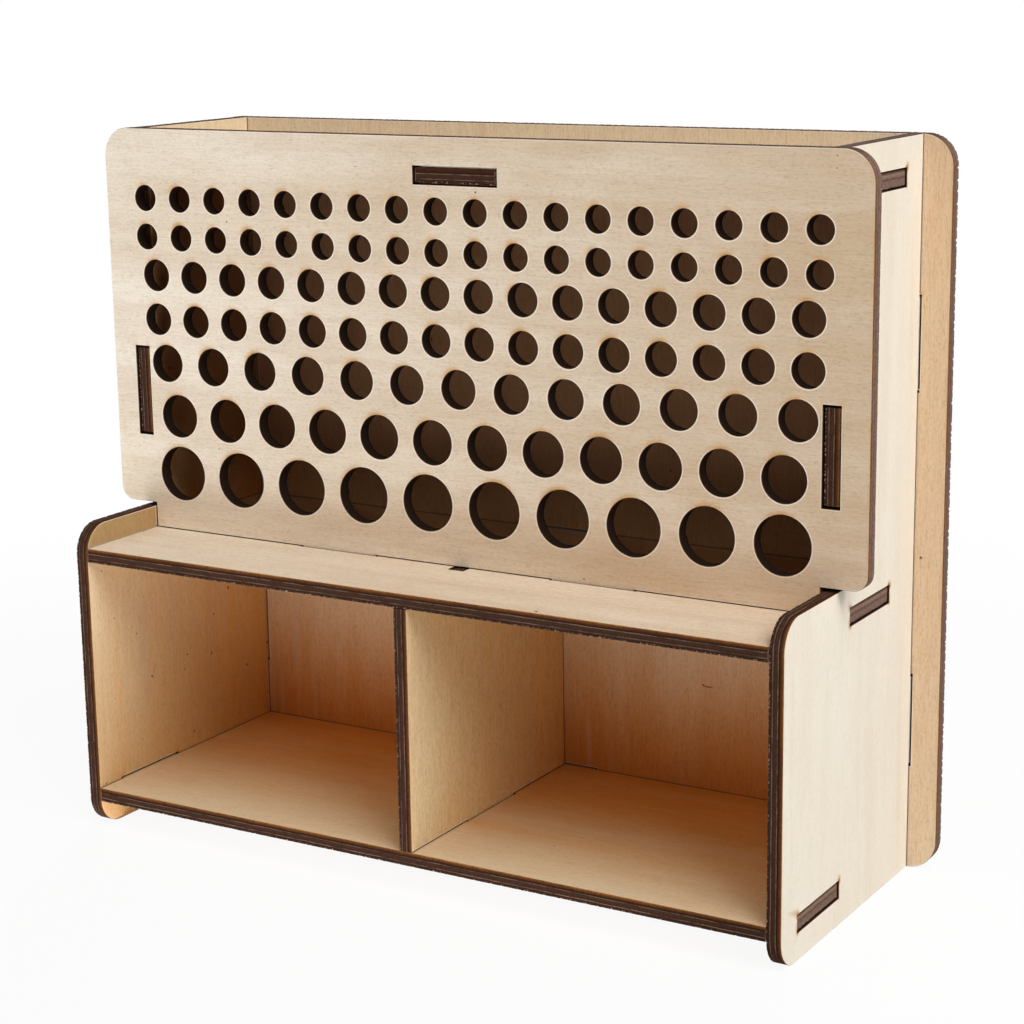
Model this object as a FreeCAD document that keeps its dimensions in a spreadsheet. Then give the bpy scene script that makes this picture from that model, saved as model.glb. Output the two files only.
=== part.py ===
import FreeCAD, Part
import math
import os
import Sketcher

# A rack for hand tools, cut from thin plywood and held together by tabs in slots.
# Eight plates: a panel full of holes, two stepped sides, a back, a tray board,
# two shelves and a divider. The front faces -Y, and the rack stands on z = 0.

# Driving dimensions in millimetres
SIZES = {
    # plywood and its joints
    "plate": 4.7,                   # thickness of every plate
    "tab_length": 29.7,             # length of every tab along its edge
    "tab_clearance": 0.35,          # play round a tab in its slot, on each side
    "tab_setback": 0.2,             # a tab's end stays this far inside the outer face
    # widths
    "case_width": 260.0,            # over the outer faces of the side panels
    "front_overhang": 10.0,         # front panel past each side panel
    "back_overhang": 10.0,          # back panel past each side panel
    # depths
    "ledge_depth": 37.0,            # front edge of the shelves to the front panel
    "cavity_depth": 56.3,           # front panel to back panel, clear
    # heights
    "foot_height": 9.5,             # under the bottom shelf
    "compartment_height": 80.0,     # between the two shelves, clear
    "lip_height": 7.7,              # side panels above the ledge
    "lip_gap": 0.8,                 # front panel's ears above the lips
    "panel_bottom_margin": 11.5,    # last row of holes to the ears' lower edge
    "tray_depth": 10.0,             # tray floor below the top edge
    # places of the tabs, measured to their middle
    "panel_tab_offset": 48.0,       # front panel's lower tabs, from the middle
    "side_front_tab_drop": 89.5,    # below the top edge
    "side_upper_tab_drop": 64.5,    # below the top edge
    "side_lower_tab_rise": 50.0,    # above the table
    "middle_shelf_tab_reach": 62.8, # behind the shelf's front edge
    "bottom_shelf_tab_reach": 27.1, # behind the shelf's front edge
    "divider_tab_reach": 48.4,      # behind the divider's front edge
    # rounded corners
    "panel_top_radius": 10.0,
    "panel_ear_radius": 5.0,
    "side_radius": 10.0,
    "back_radius": 10.0,
    # rows of tool holes from the top down: drop from the row above, or from the top edge
    "row1_gap": 23.5,
    "row2_gap": 13.0,
    "row3_gap": 13.0,
    "row4_gap": 15.0,
    "row5_gap": 15.0,
    "row6_gap": 18.0,
    "row7_gap": 20.0,
    # case's outer face to the middle of a row's first hole
    "row1_margin": 6.75,
    "row2_margin": 6.75,
    "row3_margin": 10.0,
    "row4_margin": 10.0,
    "row5_margin": 13.0,
    "row6_margin": 17.25,
    "row7_margin": 17.5,
    # widths of the holes in a row
    "row1_diameter": 8.6,
    "row2_diameter": 8.6,
    "row3_diameter": 10.6,
    "row4_diameter": 10.6,
    "row5_diameter": 12.6,
    "row6_diameter": 14.6,
    "row7_diameter": 18.6,
}

# Tool holes in each row
COUNTS = {
    "row1_count": 18,
    "row2_count": 18,
    "row3_count": 16,
    "row4_count": 16,
    "row5_count": 13,
    "row6_count": 12,
    "row7_count": 10,
}

# Places that several plates share, as formulas of the driving dimensions
PLATE = "Sizes.plate"
OUTER = "(Sizes.case_width / 2)"
INNER = f"({OUTER} - {PLATE})"
SIDE_MIDDLE = f"({OUTER} - {PLATE} / 2)"
SIDE_DEPTH = f"(Sizes.ledge_depth + {PLATE} + Sizes.cavity_depth)"
FRONT = f"(-({SIDE_DEPTH} + {PLATE}) / 2)"
PANEL_FRONT = f"({FRONT} + Sizes.ledge_depth)"
PANEL_BACK = f"({PANEL_FRONT} + {PLATE})"
REAR = f"({FRONT} + {SIDE_DEPTH})"
BOTTOM_SHELF = "Sizes.foot_height"
FLOOR = f"({BOTTOM_SHELF} + {PLATE})"
MIDDLE_SHELF = f"({FLOOR} + Sizes.compartment_height)"
LEDGE = f"({MIDDLE_SHELF} + {PLATE})"
LIP = f"({LEDGE} + Sizes.lip_height)"
EARS = f"({LIP} + Sizes.lip_gap)"
ROW_GAPS = [f"Sizes.row{number}_gap" for number in range(1, len(COUNTS) + 1)]
TOP = f"({EARS} + Sizes.panel_bottom_margin + {' + '.join(ROW_GAPS)})"
TRAY = f"({TOP} - Sizes.tray_depth - {PLATE})"
TAB_REACH = f"({PLATE} - Sizes.tab_setback)"
TAB_HALF = "(Sizes.tab_length / 2)"
SLOT_HALF = f"({TAB_HALF} + Sizes.tab_clearance)"
SLOT_HALF_WIDTH = f"({PLATE} / 2 + Sizes.tab_clearance)"
TRAY_TAB = f"(({PANEL_BACK} + {REAR}) / 2)"
MIDDLE_SHELF_TAB = f"({FRONT} + Sizes.middle_shelf_tab_reach)"
BOTTOM_SHELF_TAB = f"({FRONT} + Sizes.bottom_shelf_tab_reach)"
DIVIDER_TAB = f"({FRONT} + Sizes.divider_tab_reach)"
SIDE_FRONT_TAB = f"({TOP} - Sizes.side_front_tab_drop)"
SIDE_UPPER_TAB = f"({TOP} - Sizes.side_upper_tab_drop)"
SIDE_LOWER_TAB = "Sizes.side_lower_tab_rise"
CENTRE = "0"
GROUND = "0"

# How a sketch's two directions lie in space on each plane
PLANE_AXES = {"XY_Plane": "xy", "XZ_Plane": "xz", "YZ_Plane": "yz"}
NORMAL_AXIS = {"XY_Plane": "z", "XZ_Plane": "y", "YZ_Plane": "x"}
PLACE_TOLERANCE = 1e-4

doc = FreeCAD.newDocument("tool_rack")


def fill_sheet():
    """The driving dimensions and counts, one named cell each."""
    sheet = doc.addObject("Spreadsheet::Sheet", "Sizes")
    values = {**SIZES, **COUNTS}
    for line, (name, value) in enumerate(values.items(), start=1):
        sheet.set(f"A{line}", name)
        sheet.set(f"B{line}", str(value))
        sheet.setAlias(f"B{line}", name)
    doc.recompute()
    return sheet


def number_of(formula):
    """A formula's present value."""
    return float(SHEET.evalExpression(formula))


def minus(formula):
    return f"(-{formula})"


def plus(first, second):
    return f"({first} + {second})"


def less(first, second):
    return f"({first} - {second})"


def swap(corners):
    """The same corners with their two directions exchanged."""
    return [(second, first) for first, second in corners]


def tab(middle, edge, tip, step):
    """A tab's corners on an edge along the first direction; step is the way round."""
    start = f"({middle} - {step} * {TAB_HALF})"
    end = f"({middle} + {step} * {TAB_HALF})"
    return [(start, edge), (start, tip), (end, tip), (end, edge)]


def upright_tab(middle, edge, tip, step):
    """The same on an edge along the second direction."""
    return swap(tab(middle, edge, tip, step))


def slot(first, second):
    """A slot that runs along the first direction."""
    left = less(first, SLOT_HALF)
    right = plus(first, SLOT_HALF)
    low = less(second, SLOT_HALF_WIDTH)
    high = plus(second, SLOT_HALF_WIDTH)
    return [(left, low), (right, low), (right, high), (left, high)]


def upright_slot(first, second):
    """A slot that runs along the second direction."""
    return swap(slot(second, first))


def add_sketch(body, name, plane):
    sketch = body.newObject("Sketcher::SketchObject", name)
    support = [part for part in body.Origin.OriginFeatures if part.Role == plane][0]
    sketch.AttachmentSupport = [(support, "")]
    sketch.MapMode = "FlatFace"
    return sketch


def bind(sketch, kind, geometry, point, formula):
    """Hold a point's distance from the origin to a formula."""
    value = number_of(formula)
    place = sketch.addConstraint(Sketcher.Constraint(kind, -1, 1, geometry, point, value))
    sketch.setExpression(f"Constraints[{place}]", formula)


def draw_loop(sketch, corners):
    """A closed outline whose every corner follows its two formulas."""
    points = [FreeCAD.Vector(number_of(first), number_of(second), 0) for first, second in corners]
    start = sketch.GeometryCount
    count = len(points)
    for index in range(count):
        sketch.addGeometry(Part.LineSegment(points[index], points[(index + 1) % count]))
    for index in range(count):
        following = start + (index + 1) % count
        sketch.addConstraint(Sketcher.Constraint("Coincident", start + index, 2, following, 1))
    for index, (first, second) in enumerate(corners):
        bind(sketch, "DistanceX", start + index, 1, first)
        bind(sketch, "DistanceY", start + index, 1, second)


def cut_plate(name, plane, level, outline, slots=()):
    """A flat plate with its slots, raised from its plane to its level."""
    body = doc.addObject("PartDesign::Body", name)
    body.Label = name
    sketch = add_sketch(body, f"{name}_outline", plane)
    draw_loop(sketch, outline)
    for corners in slots:
        draw_loop(sketch, corners)
    pad = body.newObject("PartDesign::Pad", f"{name}_plate")
    pad.Profile = sketch
    pad.setExpression("Length", PLATE)
    pad.Reversed = plane == "XZ_Plane"
    body.setExpression(f"Placement.Base.{NORMAL_AXIS[plane]}", level)
    doc.recompute()
    return body


def corner_edges(shape, plane, corners):
    """Names of the edges that run through the plate at the given corners."""
    first_axis, second_axis = PLANE_AXES[plane]
    places = [(number_of(first), number_of(second)) for first, second in corners]
    names = []
    for number, edge in enumerate(shape.Edges, start=1):
        ends = [(getattr(v.Point, first_axis), getattr(v.Point, second_axis)) for v in edge.Vertexes]
        if any(all(math.dist(end, place) < PLACE_TOLERANCE for end in ends) for place in places):
            names.append(f"Edge{number}")
    if len(names) != len(corners):
        raise RuntimeError("a corner to be rounded was not found")
    return names


def round_corners(body, plane, corners, radius, name):
    base = body.Tip
    fillet = body.newObject("PartDesign::Fillet", name)
    fillet.Base = (base, corner_edges(base.Shape, plane, corners))
    fillet.setExpression("Radius", radius)
    body.Tip = fillet
    doc.recompute()


def drill_row(body, number, height):
    """One row of tool holes: the first hole, repeated along the panel."""
    row = f"Sizes.row{number}"
    reach = f"({OUTER} - {row}_margin)"
    before = body.Tip.Shape.Volume
    sketch = add_sketch(body, f"row{number}_hole", "XZ_Plane")
    middle = FreeCAD.Vector(number_of(minus(reach)), number_of(height), 0)
    circle = Part.Circle(middle, FreeCAD.Vector(0, 0, 1), number_of(f"{row}_diameter / 2"))
    hole = sketch.addGeometry(circle)
    bind(sketch, "DistanceX", hole, 3, minus(reach))
    bind(sketch, "DistanceY", hole, 3, height)
    size = sketch.addConstraint(Sketcher.Constraint("Diameter", hole, 2 * circle.Radius))
    sketch.setExpression(f"Constraints[{size}]", f"{row}_diameter")
    pocket = body.newObject("PartDesign::Pocket", f"row{number}_first")
    pocket.Profile = sketch
    pocket.Type = "ThroughAll"
    doc.recompute()
    pattern = body.newObject("PartDesign::LinearPattern", f"row{number}_holes")
    pattern.Originals = [pocket]
    pattern.Direction = (sketch, ["H_Axis"])
    pattern.Mode = "Extent"
    pattern.setExpression("Length", f"2 * {reach}")
    pattern.setExpression("Occurrences", f"{row}_count")
    body.Tip = pattern
    doc.recompute()
    if pattern.Shape.Volume >= before:
        raise RuntimeError(f"row {number} cut nothing")


def make_front_hole_panel():
    """Perforated panel: ears past the sides, and a tongue between them on the ledge."""
    ear = plus(OUTER, "Sizes.front_overhang")
    tongue = less(INNER, "Sizes.tab_clearance")
    tab_tip = less(LEDGE, TAB_REACH)
    right_tab = "Sizes.panel_tab_offset"
    top_corners = [(ear, TOP), (minus(ear), TOP)]
    ear_corners = [(minus(ear), EARS), (ear, EARS)]
    outline = [(minus(tongue), EARS), (minus(tongue), LEDGE)]
    outline += tab(minus(right_tab), LEDGE, tab_tip, 1)
    outline += tab(right_tab, LEDGE, tab_tip, 1)
    outline += [(tongue, LEDGE), (tongue, EARS), ear_corners[1]]
    outline += top_corners
    outline += [ear_corners[0]]
    slots = [
        upright_slot(minus(SIDE_MIDDLE), SIDE_FRONT_TAB),
        upright_slot(SIDE_MIDDLE, SIDE_FRONT_TAB),
        slot(CENTRE, plus(TRAY, f"{PLATE} / 2")),
    ]
    body = cut_plate("front_hole_panel", "XZ_Plane", PANEL_FRONT, outline, slots)
    round_corners(body, "XZ_Plane", top_corners, "Sizes.panel_top_radius", "panel_top_corners")
    round_corners(body, "XZ_Plane", ear_corners, "Sizes.panel_ear_radius", "panel_ear_corners")
    height = TOP
    for number, gap in enumerate(ROW_GAPS, start=1):
        height = less(height, gap)
        drill_row(body, number, height)
    return body


def make_side_panel(name, level):
    """Stepped side: deep below with a lip round the ledge, shallow beside the holes."""
    front_corners = [(FRONT, GROUND), (FRONT, LIP)]
    rear_tip = plus(REAR, TAB_REACH)
    outline = [front_corners[0], (REAR, GROUND)]
    outline += upright_tab(SIDE_LOWER_TAB, REAR, rear_tip, 1)
    outline += upright_tab(SIDE_UPPER_TAB, REAR, rear_tip, 1)
    outline += [(REAR, TOP), (PANEL_BACK, TOP)]
    outline += upright_tab(SIDE_FRONT_TAB, PANEL_BACK, less(PANEL_BACK, TAB_REACH), -1)
    outline += [(PANEL_BACK, LIP), front_corners[1]]
    slots = [
        slot(TRAY_TAB, plus(TRAY, f"{PLATE} / 2")),
        slot(MIDDLE_SHELF_TAB, plus(MIDDLE_SHELF, f"{PLATE} / 2")),
        slot(BOTTOM_SHELF_TAB, plus(BOTTOM_SHELF, f"{PLATE} / 2")),
    ]
    body = cut_plate(name, "YZ_Plane", level, outline, slots)
    round_corners(body, "YZ_Plane", front_corners, "Sizes.side_radius", f"{name}_corners")
    return body


def make_back_panel():
    """Full-height back with a slot for every tab that meets it."""
    edge = plus(OUTER, "Sizes.back_overhang")
    outline = [(minus(edge), GROUND), (edge, GROUND), (edge, TOP), (minus(edge), TOP)]
    slots = [slot(CENTRE, plus(level, f"{PLATE} / 2")) for level in (BOTTOM_SHELF, MIDDLE_SHELF, TRAY)]
    for height in (SIDE_LOWER_TAB, SIDE_UPPER_TAB):
        slots.append(upright_slot(minus(SIDE_MIDDLE), height))
        slots.append(upright_slot(SIDE_MIDDLE, height))
    body = cut_plate("back_panel", "XZ_Plane", REAR, outline, slots)
    round_corners(body, "XZ_Plane", outline, "Sizes.back_radius", "back_corners")
    return body


def board_outline(front, side_tab, front_tab):
    """A level board between the sides: tabs left, right and behind, and one in front if asked."""
    side_tip = plus(INNER, TAB_REACH)
    outline = [(minus(INNER), front)]
    if front_tab:
        outline += tab(CENTRE, front, less(front, TAB_REACH), 1)
    outline += [(INNER, front)]
    outline += upright_tab(side_tab, INNER, side_tip, 1)
    outline += [(INNER, REAR)]
    outline += tab(CENTRE, REAR, plus(REAR, TAB_REACH), -1)
    outline += [(minus(INNER), REAR)]
    outline += upright_tab(side_tab, minus(INNER), minus(side_tip), -1)
    return outline


def make_top_tray_board():
    """Floor of the shallow tray on top, and roof of the space behind the holes."""
    outline = board_outline(PANEL_BACK, TRAY_TAB, True)
    return cut_plate("top_tray_board", "XY_Plane", TRAY, outline)


def make_middle_shelf():
    """Ledge in front of the panel and floor behind it, slotted for panel and divider."""
    panel_middle = plus(PANEL_FRONT, f"{PLATE} / 2")
    slots = [
        slot(minus("Sizes.panel_tab_offset"), panel_middle),
        slot("Sizes.panel_tab_offset", panel_middle),
        upright_slot(CENTRE, DIVIDER_TAB),
    ]
    outline = board_outline(FRONT, MIDDLE_SHELF_TAB, False)
    return cut_plate("middle_shelf", "XY_Plane", MIDDLE_SHELF, outline, slots)


def make_bottom_shelf():
    """Floor of the two compartments."""
    outline = board_outline(FRONT, BOTTOM_SHELF_TAB, False)
    slots = [upright_slot(CENTRE, DIVIDER_TAB)]
    return cut_plate("bottom_shelf", "XY_Plane", BOTTOM_SHELF, outline, slots)


def make_centre_divider():
    """Upright between the shelves, with one tab down and one tab up."""
    outline = [(FRONT, FLOOR)]
    outline += tab(DIVIDER_TAB, FLOOR, less(FLOOR, TAB_REACH), 1)
    outline += [(REAR, FLOOR), (REAR, MIDDLE_SHELF)]
    outline += tab(DIVIDER_TAB, MIDDLE_SHELF, plus(MIDDLE_SHELF, TAB_REACH), -1)
    outline += [(FRONT, MIDDLE_SHELF)]
    return cut_plate("centre_divider", "YZ_Plane", minus(f"{PLATE} / 2"), outline)


def check(bodies):
    """Every object has been worked out, and every plate is one sound solid."""
    for item in doc.Objects:
        if {"Invalid", "Error"} & set(item.State):
            raise RuntimeError(f"{item.Label} failed")
    for body in bodies:
        shape = body.Shape
        if shape.isNull() or not shape.isValid() or len(shape.Solids) != 1:
            raise RuntimeError(f"{body.Label} is not one sound solid")


SHEET = fill_sheet()
plates = [
    make_front_hole_panel(),
    make_side_panel("left_side_panel", minus(OUTER)),
    make_side_panel("right_side_panel", INNER),
    make_back_panel(),
    make_top_tray_board(),
    make_middle_shelf(),
    make_bottom_shelf(),
    make_centre_divider(),
]
doc.recompute()
check(plates)
os.makedirs("parts", exist_ok=True)
for plate in plates:
    plate.Shape.exportStep(f"parts/{plate.Label}.step")
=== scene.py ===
import math
import random

import bpy
import numpy as np
from mathutils import Matrix, Vector
from mathutils.geometry import delaunay_2d_cdt


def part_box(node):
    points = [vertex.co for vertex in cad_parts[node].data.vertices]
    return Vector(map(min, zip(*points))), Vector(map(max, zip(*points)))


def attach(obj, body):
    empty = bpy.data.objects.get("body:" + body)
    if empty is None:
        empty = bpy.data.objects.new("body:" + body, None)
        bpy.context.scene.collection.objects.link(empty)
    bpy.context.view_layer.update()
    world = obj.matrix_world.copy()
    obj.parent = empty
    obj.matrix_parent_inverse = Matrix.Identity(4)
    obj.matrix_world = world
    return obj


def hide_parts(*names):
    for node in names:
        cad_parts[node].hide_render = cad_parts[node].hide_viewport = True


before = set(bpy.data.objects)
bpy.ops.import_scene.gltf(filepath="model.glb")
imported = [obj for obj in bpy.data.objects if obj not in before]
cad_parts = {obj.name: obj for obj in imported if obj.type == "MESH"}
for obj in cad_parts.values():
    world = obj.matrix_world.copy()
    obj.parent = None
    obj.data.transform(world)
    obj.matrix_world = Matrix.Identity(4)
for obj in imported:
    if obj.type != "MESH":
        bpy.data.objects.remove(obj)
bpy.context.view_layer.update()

# A tool rack of laser-cut plywood: eight plates, each redrawn from its CAD node with fine arrises.
MM = 0.001
X, Y, Z = 0, 1, 2

# Each plate: the axis its face grain runs along, the side the laser entered from, how browned its front
# edges are, how rough its exit arris is, its slot and its wood.
PLATES = {
    "front_hole_panel": dict(grain=X, entry=-1, browned=0.8, rough=0.2, slot="panel_ply", wood="panel"),
    "left_side_panel": dict(grain=Z, entry=1, browned=0.6, rough=0.6, slot="side_ply", wood="left side"),
    "right_side_panel": dict(grain=Z, entry=1, browned=0.6, rough=0.5, slot="side_ply", wood="right side"),
    "back_panel": dict(grain=Z, entry=-1, browned=0.8, rough=1.0, slot="back_ply", wood="back"),
    "top_tray_board": dict(grain=X, entry=1, browned=0.0, rough=0.3, slot="shelf_ply", wood="tray"),
    "middle_shelf": dict(grain=X, entry=1, browned=0.8, rough=0.7, slot="shelf_ply", wood="ledge"),
    "bottom_shelf": dict(grain=X, entry=1, browned=0.8, rough=0.6, slot="shelf_ply", wood="floor"),
    "centre_divider": dict(grain=Z, entry=1, browned=0.6, rough=0.6, slot="divider_ply", wood="divider"),
}

# Each veneer: its pale and deep tones as linear colours, the tone of its exit face where the laser's
# smoke stained it, how its tone deepens per millimetre along x, y and z from a middle point as painted
# light and shade, how its tone deepens on the back of the compartments and of the tray as painted shade
# and light, how far its mean tone lies from the middle, how strong its bands and its grain are, and the
# share of its cells with a pin speck.
WOODS = {
    "panel": dict(pale=(0.88, 0.785, 0.65), deep=(0.59, 0.42, 0.26), exit=(0.56, 0.39, 0.23),
                  painted_light_drift=(0.0021, 0, 0.0006), middle=(0, 0, 164), grain=1.25, specks=0.08),
    "left side": dict(pale=(0.78, 0.63, 0.41), deep=(0.90, 0.465, 0.135), exit=(0.86, 0.78, 0.64),
                      painted_light_drift=(0, 0.0058, -0.0060), middle=(0, 0, 62), bands=0.5, grain=1.4, specks=0.55),
    "right side": dict(pale=(0.927, 0.85, 0.725), deep=(0.84, 0.735, 0.584), exit=(0.80, 0.52, 0.26),
                       grain=0.55, specks=0.0),
    "back": dict(pale=(0.764, 0.625, 0.439), deep=(0.61, 0.245, 0.058), compartment=0.85, tray=-0.37,
                 exit=(0.82, 0.70, 0.52), tone=-0.22, bands=0.45, grain=1.6, specks=0.12),
    "tray": dict(pale=(0.76, 0.576, 0.383), deep=(0.592, 0.396, 0.218), exit=(0.60, 0.42, 0.25),
                 grain=1.2, specks=0.05),
    "ledge": dict(pale=(0.82, 0.686, 0.532), deep=(0.637, 0.466, 0.312), exit=(0.74, 0.44, 0.20),
                  painted_light_drift=(0.0016, 0, 0), middle=(0, 0, 0), grain=1.7, specks=0.08),
    "floor": dict(pale=(0.685, 0.558, 0.375), deep=(0.66, 0.29, 0.063), exit=(0.74, 0.60, 0.42),
                  painted_light_drift=(0.0002, 0.0085, 0), middle=(0, 2, 0), tone=0.10, bands=0.6, grain=1.15, specks=0.10),
    "divider": dict(pale=(0.634, 0.50, 0.298), deep=(0.757, 0.404, 0.121), exit=(0.78, 0.48, 0.22),
                    painted_light_drift=(0, 0.0048, 0), middle=(0, 6, 0), bands=0.5, grain=2.0, specks=0.35),
}

# Single marks that the photograph shows: place in the frame and half sizes in millimetres, and strength. The
# panel has a faint knot and four specks, the left side six specks, and the back a splinter mark.
MARKS = {
    "panel": (
        ((-92, -14, 230), (2.6, 1, 0.9), 0.12),
        ((128, -14, 234), (0.3, 1, 0.3), 0.8),
        ((128, -14, 230.5), (0.3, 1, 0.3), 0.8),
        ((45, -14, 100.5), (0.5, 1, 0.3), 0.8),
        ((-96.5, -14, 129), (0.3, 1, 0.3), 0.8),
    ),
    "left side": (
        ((-125, 15, 60), (1, 0.5, 0.5), 0.8),
        ((-125, -28, 63.5), (1, 0.5, 0.4), 0.7),
        ((-125, -1, 49), (1, 0.6, 0.4), 0.8),
        ((-125, -3, 44), (1, 0.5, 0.4), 0.6),
        ((-125, -16, 34.5), (1, 0.4, 0.4), 0.5),
        ((-125, -28, 25), (1, 0.4, 0.4), 0.6),
    ),
    "back": (
        ((58.2, 46.6, 50.6), (2.2, 1, 0.26), 0.85),
        ((56.4, 46.6, 51), (0.6, 1, 0.36), 0.85),
    ),
}

# Tones that are laid over the veneer and the cuts, as linear colours. The painted shades, the painted light
# and the painted bounce multiply it.
GRAIN_LIGHT = (1.15, 1.20, 1.26, 1)
GRAIN_DARK = (0.85, 0.80, 0.74, 1)
HOLD_PAINTED_SHADE = (0.57, 0.36, 0.24, 1)
HOLD_FLOOR_PAINTED_LIGHT = (1.75, 2.2, 2.2, 1)
LIP_PAINTED_SHADE = (0.52, 0.42, 0.29, 1)
LOW_WALL_PAINTED_SHADE = (0.70, 0.70, 0.70, 1)
LOW_PANEL_PAINTED_BOUNCE = (1.05, 0.99, 0.93, 1)
# Painted shade in the narrow seams where plates meet.
SEAM_PAINTED_SHADE = (0.045, 0.026, 0.016, 1)
PINK_STREAK = (0.70, 0.49, 0.37, 1)
# A painted highlight along the rim of each cut.
CREAM_RIM_HIGHLIGHT = (0.98, 0.92, 0.80, 1)
AMBER = (0.62, 0.34, 0.11, 1)
SCORCH_BROWN = (0.24, 0.10, 0.03, 1)
SPECK_BROWN = (0.13, 0.055, 0.022, 1)
SMOKE = (0.40, 0.27, 0.16, 1)
CHIPPED_WOOD = (0.45, 0.33, 0.23, 1)
SOOT = (0.020, 0.011, 0.007, 1)
PLY_LINE = (0.26, 0.165, 0.11, 1)
HOLE_ARRIS = (0.17, 0.065, 0.022, 1)

# The cut edge, from the entry face (0) to the exit face (1): dark where it faces front, up or down, and
# paler where it faces a side, which is painted light.
CHAR_TONES = (
    (0.00, (0.125, 0.040, 0.011)),
    (0.05, (0.075, 0.023, 0.007)),
    (0.18, (0.049, 0.017, 0.007)),
    (0.30, (0.028, 0.011, 0.006)),
    (0.50, (0.063, 0.028, 0.017)),
    (0.72, (0.046, 0.019, 0.012)),
    (1.00, (0.036, 0.015, 0.009)),
)
SIDE_LIT_TONES = (
    (0.00, (0.200, 0.095, 0.045)),
    (0.06, (0.110, 0.055, 0.034)),
    (0.16, (0.300, 0.195, 0.145)),
    (0.30, (0.260, 0.165, 0.125)),
    (0.42, (0.120, 0.067, 0.048)),
    (0.55, (0.215, 0.130, 0.105)),
    (0.86, (0.230, 0.145, 0.112)),
    (1.00, (0.110, 0.058, 0.050)),
)
# Where smoke browned the entry side of a cut, in the same order.
BROWNED_TONES = (
    (0.00, (0.52, 0.25, 0.075)),
    (0.05, (0.26, 0.095, 0.022)),
    (0.15, (0.135, 0.046, 0.012)),
    (0.28, (0.050, 0.020, 0.009)),
)
# How much painted side light a cut gets, from 0 to 1, or this where it is sooted all through: in a hole or a
# slot.
SOOTED = -1.0
PLY_LINES = (0.38, 0.74)
PLY_LINE_WIDTH = 0.055
PLY_LINE_STRENGTH = (0.65, 0.95)
PLY_LINE_LEAST = 0.2

# Detail and roughness of the noises, and for the bands their distortion.
PLAIN_NOISE = (1.0, 0.5)
SOFT_NOISE = (2.0, 0.5)
FINE_NOISE = (2.0, 0.6)
RICH_NOISE = (3.0, 0.6)
SOOT_NOISE = (3.0, 0.65)
BAND_NOISE = (3.0, 0.55, 0.4)

# Patterns of the veneer, by their lengths along and across the grain in millimetres.
BANDS = (170, 15)
CLOUDS = (34, 16)
FIBRES = (9, 0.45)
MOTTLE = (1.2, 0.8)
PORES = (2.1, 0.32)
SPECK_CELLS = (7.5, 5.5)
PINK_STREAKS = (90, 6)
PATTERN_SPAN = 50
PINK_SHIFT = 9

# Patterns without a grain, by their size in millimetres.
RAGGED_SIZE = 0.8
GRIT_SIZE = 0.6
SLOW_SIZE = 6
QUICK_SIZE = 0.7
SOOT_SIZE = 0.9
SPLINTER_SIZE = 0.55
PLY_BREAK_SIZE = 7
PLY_BREAK_SHIFT = 90

# How the patterns add up to the veneer's tone and grain.
CLOUD_SHARE = 0.4
MEAN_TONE = 0.7
TONE_RANGE = (0.10, 1.30)
# The height, as a share of the ledge's top, where the painted shade towards the compartments' floor begins.
PAINTED_SHADE_HEIGHT = 0.8
MOTTLE_SHARE = 0.8
PORE_SHARE = 0.45
PORE_RANGE = (0.56, 0.74)
GRAIN_RANGE = (0.60, 1.50)
GRAIN_SHARE = 0.5
PINK_RANGE = (0.55, 0.80)
PINK_SHARE = 0.25
EXIT_SHARE = 0.7
SPECK_LEAST, SPECK_SPREAD = 0.012, 0.066

# Ramps, by where they start and end and by the values there.
SPECK_RAMP = (0.3, 0.7, 0.4, 1.5)
MARK_EDGE = (0.6, 1.1)
EXIT_STAIN = (0.2, 2.4, 0.75, 0.0)
# The painted highlight along a cut's rim.
RIM_HIGHLIGHT_RAMP = (0.28, 0.68, 0.70, 0.0)
SMOKE_GRIT = (0.2, 0.7, 0.7, 1.1)
AMBER_RAMP = (0.04, 0.80, 0.0, 0.85)
SCORCH_RAMP = (0.70, 1.1, 0.0, 0.5)
# The painted seam shade.
SEAM_RAMP = (0.45, 0.85, 0.9, 0.0)
# The painted side light on a cut.
SIDE_LIT_RAMP = (0.2, 0.9)
PLY_BREAK_RANGE = (0.34, 0.62)
BROWNED_RAMP = (0.20, 0.28, 1.0, 0.0)
SOOT_RAMP = (0.42, 0.74, 0.0, 0.5)
HOLE_ARRIS_RAMP = (0.015, 0.06)
SPLINTER_RAMP = (0.57, 0.66)
CHIPPED_RAMP = (0.86, 0.96)
EDGE_ROUGHNESS = (0.2, 0.8, 0.75, 0.95)

# How far the lines on a cut wander, in shares of the thickness.
SLOW_WANDER, QUICK_WANDER, MEAN_WANDER = 0.07, 0.05, 0.06

# Roughness, bump depth in millimetres and specular level of the faces and the cuts.
FACE_ROUGHNESS, FACE_ROUGHNESS_SPREAD = 0.55, 0.25
FACE_BUMP, FACE_SPECULAR = 0.05, 0.25
EDGE_BUMP, EDGE_SPECULAR = 0.10, 0.06

# Places of the two materials on a plate.
FACE, WALL = 0, 1

# Sizes of the redrawn plates, in millimetres.
SNAP = 0.2
STEP = 0.55
HOLE_STEP = 0.55
LEAST_HOLE_STEPS = 56
KERF = 0.21
ENTRY_ARRIS = 0.13
EXIT_ARRIS = 0.08
NOTCH_DEPTH = (0.08, 0.60, 0.16)
NOTCH_SPACING = (2, 7)
BUMP_DEPTH = (0.0, 0.08)
NOTCH_MOST = 1.2
SCALLOP_REACH = 1.5
LEAST_BREAK = 0.02
CHIP_SHARE = 0.25
CHIP_SIZE = 0.35
CHIP_STAND = (0.3, 1.0)
CHIP_STEPS = (2, 4)
ENTRY_RINGS = (0.30, 0.75, 1.5, 2.8)
EXIT_RINGS = (0.8, 2.4)
RING_CLEAR = 0.85
LARGEST_ROUND = 30.0
CIRCLE_SLACK = 0.03
LEAST_CIRCLE_CORNERS = 10
GENTLE_TURN = (0.01, 0.6)
CORNER_MITRE = 1.2
FILL_TOLERANCE = 1e-7
SHARP_ANGLE = math.radians(30)

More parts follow.
